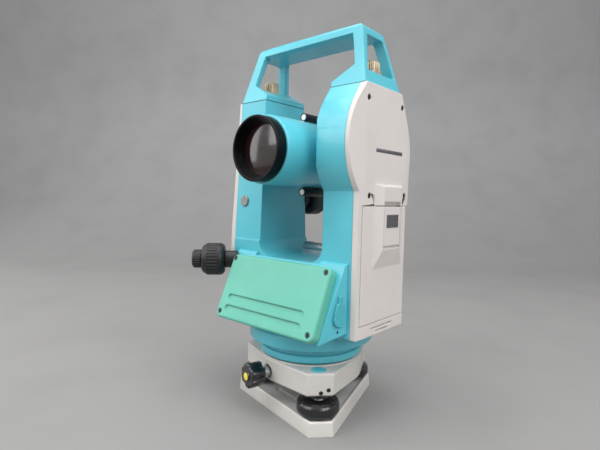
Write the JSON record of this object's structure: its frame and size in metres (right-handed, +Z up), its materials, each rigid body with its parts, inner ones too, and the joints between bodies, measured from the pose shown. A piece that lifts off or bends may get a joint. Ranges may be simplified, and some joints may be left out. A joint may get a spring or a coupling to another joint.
{
  "type": "electronic theodolite",
  "caption": "Electronic theodolite with a turning telescope in a U-shaped yoke, side battery pack and handle, on a three-screw levelling tribrach and base plate.",
  "frame": {"origin": "centre of the tripod thread, on the vertical axis, at the base plate's underside", "axes": "+Z up along the vertical axis, +X along the trunnion axis towards the battery side, -Y towards the objective and the blank cover"},
  "size_m": [0.1856, 0.158, 0.3435],
  "materials": {
    "turquoise": "satin enamel",
    "mint": "satin",
    "grey_cover": "fine texture",
    "grey_cast": "satin enamel",
    "black": "matt",
    "steel": "turned",
    "brass": "knurled",
    "glass": "clear",
    "coated_glass": "coated",
    "rubber": "matt",
    "board": "solder mask",
    "spring_steel": "rolled",
    "aluminium": "machined"
  },
  "bodies": {
    "base": {"base_plate": "grey_cast", "spring_plate": "spring_steel"},
    "foot_screw_front": {"foot_knob_front": "black", "foot_spindle_front": "steel"},
    "foot_screw_rear": {"foot_knob_rear": "black", "foot_spindle_rear": "steel"},
    "foot_screw_left": {"foot_knob_left": "black", "foot_spindle_left": "steel"},
    "tribrach": {"tribrach_body": "grey_cast", "lobe_caps": "turquoise", "circular_level": "black", "circular_vial": "glass", "limb_base": "turquoise", "axis_bush": "brass", "horizontal_circle": "glass"},
    "lock_screw": {"clamp_knob": "black", "clamp_screw": "steel"},
    "alidade": {"alidade_base": "turquoise", "vertical_spindle": "steel", "yoke_frame": "turquoise", "left_cover": "grey_cover", "right_cover": "grey_cover", "case_screws": "steel", "front_housing": "turquoise", "front_cover": "mint", "rear_housing": "turquoise", "keypad_panel": "grey_cover", "display_module": "glass", "data_socket": "black", "main_board": "board", "plate_level": "aluminium", "plate_vial": "glass", "index_plug": "brass", "trunnion_bearings": "brass", "clamp_sleeves": "black", "plummet_tube": "aluminium", "handle": "turquoise"},
    "telescope": {"telescope_barrel": "turquoise", "objective_ring": "black", "objective_lens": "coated_glass", "trunnion_axles": "steel", "vertical_circle": "glass", "peep_sights": "black"},
    "focusing_ring": {"focus_ring": "black"},
    "focusing_cell": {"focus_cell": "aluminium"},
    "eyepiece": {"eyepiece_ring": "black"},
    "handle_screw_l": {"handle_screw_left": "brass"},
    "handle_screw_r": {"handle_screw_right": "brass"},
    "battery": {"battery_case": "grey_cover"},
    "latch": {"battery_latch": "grey_cover"},
    "port_cap": {"connector_cap": "rubber"},
    "horizontal_clamp": {"h_clamp_ring": "black"},
    "horizontal_fine": {"h_fine_knob": "black"},
    "vertical_clamp": {"v_clamp_ring": "black"},
    "vertical_fine": {"v_fine_knob": "black"},
    "plummet_focus": {"plummet_eyepiece": "black"},
    "button_1": {"key_1": "black"},
    "button_2": {"key_2": "black"},
    "button_3": {"key_3": "black"},
    "button_4": {"key_4": "black"}
  },
  "joints": [
    {"name": "tribrach_lift", "type": "slide", "parent": "base", "child": "tribrach", "axis": [0, 0, 1], "range_m": [-0.003, 0.003]},
    {"name": "foot_screw_front_turn", "type": "hinge", "parent": "base", "child": "foot_screw_front", "pos_m": [0.03994, -0.03634, 0.02], "axis": [0, 0, 1], "range_deg": [-1080, 1080]},
    {"name": "foot_screw_rear_turn", "type": "hinge", "parent": "base", "child": "foot_screw_rear", "pos_m": [0.0115, 0.05276, 0.02], "axis": [0, 0, 1], "range_deg": [-1080, 1080]},
    {"name": "foot_screw_left_turn", "type": "hinge", "parent": "base", "child": "foot_screw_left", "pos_m": [-0.05144, -0.01642, 0.02], "axis": [0, 0, 1], "range_deg": [-1080, 1080]},
    {"name": "lock_screw_turn", "type": "hinge", "parent": "tribrach", "child": "lock_screw", "pos_m": [-0.01278, -0.05862, 0.038], "axis": [-0.213, -0.977, 0], "range_deg": [0, 180]},
    {"name": "alidade_turn", "type": "hinge", "parent": "tribrach", "child": "alidade", "pos_m": [0, 0, 0.07], "axis": [0, 0, 1], "continuous": true},
    {"name": "telescope_tilt", "type": "hinge", "parent": "alidade", "child": "telescope", "pos_m": [0, 0, 0.2365], "axis": [1, 0, 0], "continuous": true},
    {"name": "focusing_slide", "type": "slide", "parent": "telescope", "child": "focusing_cell", "axis": [0, 1, 0], "range_m": [-0.004, 0.004]},
    {"name": "focusing_turn", "type": "hinge", "parent": "telescope", "child": "focusing_ring", "pos_m": [0, 0.055, 0.2365], "axis": [0, 1, 0], "range_deg": [-100, 100]},
    {"name": "eyepiece_turn", "type": "hinge", "parent": "telescope", "child": "eyepiece", "pos_m": [0, 0.07, 0.2365], "axis": [0, 1, 0], "range_deg": [-120, 120]},
    {"name": "handle_screw_l_turn", "type": "hinge", "parent": "alidade", "child": "handle_screw_l", "pos_m": [-0.06, 0, 0.308], "axis": [0, 0, 1], "range_deg": [0, 720]},
    {"name": "handle_screw_r_turn", "type": "hinge", "parent": "alidade", "child": "handle_screw_r", "pos_m": [0.06, 0, 0.308], "axis": [0, 0, 1], "range_deg": [0, 720]},
    {"name": "battery_out", "type": "slide", "parent": "alidade", "child": "battery", "axis": [1, 0, 0], "range_m": [0, 0.045]},
    {"name": "latch_press", "type": "slide", "parent": "battery", "child": "latch", "axis": [0, 0, -1], "range_m": [0, 0.002], "stiffness_N_per_m": 600},
    {"name": "port_cap_fold", "type": "hinge", "parent": "alidade", "child": "port_cap", "pos_m": [0.06645, -0.04371, 0.11919], "axis": [-0.2339, -0.9716, 0.0349], "range_deg": [0, 100]},
    {"name": "horizontal_clamp_turn", "type": "hinge", "parent": "alidade", "child": "horizontal_clamp", "pos_m": [-0.08399, -0.05274, 0.134], "axis": [-0.7071, -0.7071, 0], "range_deg": [0, 60]},
    {"name": "horizontal_fine_turn", "type": "hinge", "parent": "alidade", "child": "horizontal_fine", "pos_m": [-0.09531, -0.06406, 0.134], "axis": [-0.7071, -0.7071, 0], "range_deg": [-1800, 1800]},
    {"name": "vertical_clamp_turn", "type": "hinge", "parent": "alidade", "child": "vertical_clamp", "pos_m": [-0.045, 0.051, 0.195], "axis": [0, 1, 0], "range_deg": [0, 60]},
    {"name": "vertical_fine_turn", "type": "hinge", "parent": "alidade", "child": "vertical_fine", "pos_m": [-0.045, 0.067, 0.195], "axis": [0, 1, 0], "range_deg": [-1800, 1800]},
    {"name": "plummet_focus_turn", "type": "hinge", "parent": "alidade", "child": "plummet_focus", "pos_m": [-0.09, 0, 0.112], "axis": [1, 0, 0], "range_deg": [-150, 150]},
    {"name": "button_1_press", "type": "slide", "parent": "alidade", "child": "button_1", "axis": [0, -0.9225, -0.3859], "range_m": [0, 0.0008], "stiffness_N_per_m": 250},
    {"name": "button_2_press", "type": "slide", "parent": "alidade", "child": "button_2", "axis": [0, -0.9225, -0.3859], "range_m": [0, 0.0008], "stiffness_N_per_m": 250},
    {"name": "button_3_press", "type": "slide", "parent": "alidade", "child": "button_3", "axis": [0, -0.9225, -0.3859], "range_m": [0, 0.0008], "stiffness_N_per_m": 250},
    {"name": "button_4_press", "type": "slide", "parent": "alidade", "child": "button_4", "axis": [0, -0.9225, -0.3859], "range_m": [0, 0.0008], "stiffness_N_per_m": 250}
  ],
  "couplings": [
    {"joint": "foot_screw_front_turn", "follows": "tribrach_lift", "rad_per_m": 6283.2},
    {"joint": "foot_screw_rear_turn", "follows": "tribrach_lift", "rad_per_m": 6283.2},
    {"joint": "foot_screw_left_turn", "follows": "tribrach_lift", "rad_per_m": 6283.2},
    {"joint": "focusing_turn", "follows": "focusing_slide", "rad_per_m": 436.33}
  ]
}
